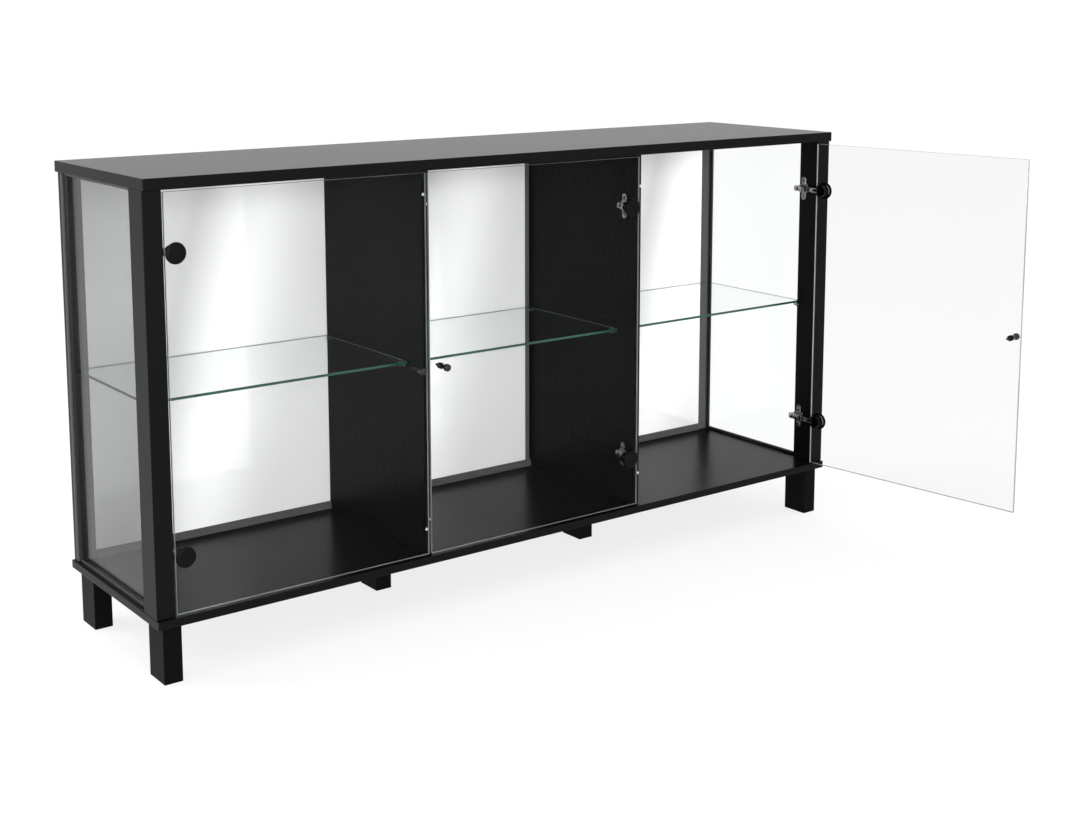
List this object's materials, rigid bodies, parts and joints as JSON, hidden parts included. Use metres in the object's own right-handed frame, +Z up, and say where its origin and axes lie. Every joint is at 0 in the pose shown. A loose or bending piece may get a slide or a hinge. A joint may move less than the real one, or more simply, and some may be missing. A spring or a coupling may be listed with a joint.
{
  "type": "glass display showcase",
  "caption": "Low black display showcase on block legs, with glass ends, mirror backs, glass shelves and frameless glass doors on concealed hinges.",
  "frame": {"origin": "on the floor, under the middle of the whole object with its right door open", "axes": "+X along the front to the right, +Y from the front to the mirror backs, +Z up"},
  "size_m": [1.6482, 0.8894, 0.863],
  "materials": {
    "black_board": "satin black melamine-faced board with matching edge band",
    "clear_glass": "clear float glass with a green edge",
    "mirror_glass": "silvered mirror",
    "nickel_steel": "nickel-plated pressed steel",
    "black_plastic": "satin black moulded plastic",
    "black_metal": "satin black turned metal"
  },
  "bodies": {
    "showcase": {"back_panel": "black_board", "base_panel": "black_board", "left_divider": "black_board", "left_front_leg": "black_board", "left_front_post": "black_board", "left_lower_hinge_arm": "nickel_steel", "left_middle_leg": "black_board", "left_mirror": "mirror_glass", "left_rear_leg": "black_board", "left_rear_post": "black_board", "left_shelf": "clear_glass", "left_shelf_pin_divider_front": "nickel_steel", "left_shelf_pin_divider_rear": "nickel_steel", "left_shelf_pin_post_front": "nickel_steel", "left_shelf_pin_post_rear": "nickel_steel", "left_side_glass": "clear_glass", "left_upper_hinge_arm": "nickel_steel", "middle_lower_hinge_arm": "nickel_steel", "middle_mirror": "mirror_glass", "middle_shelf": "clear_glass", "middle_shelf_pin_left_front": "nickel_steel", "middle_shelf_pin_left_rear": "nickel_steel", "middle_shelf_pin_right_front": "nickel_steel", "middle_shelf_pin_right_rear": "nickel_steel", "middle_upper_hinge_arm": "nickel_steel", "rear_rail": "black_board", "right_divider": "black_board", "right_front_leg": "black_board", "right_front_post": "black_board", "right_lower_hinge_arm": "nickel_steel", "right_middle_leg": "black_board", "right_mirror": "mirror_glass", "right_rear_leg": "black_board", "right_rear_post": "black_board", "right_shelf": "clear_glass", "right_shelf_pin_divider_front": "nickel_steel", "right_shelf_pin_divider_rear": "nickel_steel", "right_shelf_pin_post_front": "nickel_steel", "right_shelf_pin_post_rear": "nickel_steel", "right_side_glass": "clear_glass", "right_upper_hinge_arm": "nickel_steel", "top_panel": "black_board"},
    "left_door": {"left_door_glass": "clear_glass", "left_door_knob": "black_metal", "left_lower_hinge_cup": "black_plastic", "left_upper_hinge_cup": "black_plastic"},
    "left_upper_link": {"left_upper_hinge_link": "nickel_steel"},
    "left_lower_link": {"left_lower_hinge_link": "nickel_steel"},
    "middle_door": {"middle_door_glass": "clear_glass", "middle_door_knob": "black_metal", "middle_lower_hinge_cup": "black_plastic", "middle_upper_hinge_cup": "black_plastic"},
    "middle_upper_link": {"middle_upper_hinge_link": "nickel_steel"},
    "middle_lower_link": {"middle_lower_hinge_link": "nickel_steel"},
    "right_door": {"right_door_glass": "clear_glass", "right_door_knob": "black_metal", "right_lower_hinge_cup": "black_plastic", "right_upper_hinge_cup": "black_plastic"},
    "right_upper_link": {"right_upper_hinge_link": "nickel_steel"},
    "right_lower_link": {"right_lower_hinge_link": "nickel_steel"}
  },
  "joints": [
    {"name": "left_door_hinge", "type": "hinge", "parent": "showcase", "child": "left_door", "pos_m": [-0.78861, 0.05969, 0.478], "axis": [0, 0, -1], "range_deg": [0, 97]},
    {"name": "middle_door_hinge", "type": "hinge", "parent": "showcase", "child": "middle_door", "pos_m": [0.22889, 0.05969, 0.478], "axis": [0, 0, 1], "range_deg": [0, 97]},
    {"name": "right_door_hinge", "type": "hinge", "parent": "showcase", "child": "right_door", "pos_m": [0.74039, 0.05969, 0.478], "axis": [0, 0, 1], "range_deg": [-97, 0]},
    {"name": "left_upper_link_pivot", "type": "hinge", "parent": "showcase", "child": "left_upper_link", "pos_m": [-0.77811, 0.07269, 0.737], "axis": [0, 0, -1], "range_deg": [-0.4, 63.1]},
    {"name": "left_lower_link_pivot", "type": "hinge", "parent": "showcase", "child": "left_lower_link", "pos_m": [-0.77811, 0.07269, 0.219], "axis": [0, 0, -1], "range_deg": [-0.4, 63.1]},
    {"name": "middle_upper_link_pivot", "type": "hinge", "parent": "showcase", "child": "middle_upper_link", "pos_m": [0.21839, 0.07269, 0.737], "axis": [0, 0, 1], "range_deg": [-0.4, 63.1]},
    {"name": "middle_lower_link_pivot", "type": "hinge", "parent": "showcase", "child": "middle_lower_link", "pos_m": [0.21839, 0.07269, 0.219], "axis": [0, 0, 1], "range_deg": [-0.4, 63.1]},
    {"name": "right_upper_link_pivot", "type": "hinge", "parent": "showcase", "child": "right_upper_link", "pos_m": [0.72989, 0.07269, 0.737], "axis": [0, 0, 1], "range_deg": [-63.1, 0.4]},
    {"name": "right_lower_link_pivot", "type": "hinge", "parent": "showcase", "child": "right_lower_link", "pos_m": [0.72989, 0.07269, 0.219], "axis": [0, 0, 1], "range_deg": [-63.1, 0.4]}
  ],
  "couplings": [
    {"joint": "left_upper_link_pivot", "follows": "left_door_hinge", "ratio": 0.646},
    {"joint": "left_lower_link_pivot", "follows": "left_door_hinge", "ratio": 0.646},
    {"joint": "middle_upper_link_pivot", "follows": "middle_door_hinge", "ratio": 0.646},
    {"joint": "middle_lower_link_pivot", "follows": "middle_door_hinge", "ratio": 0.646},
    {"joint": "right_upper_link_pivot", "follows": "right_door_hinge", "ratio": 0.646},
    {"joint": "right_lower_link_pivot", "follows": "right_door_hinge", "ratio": 0.646}
  ]
}
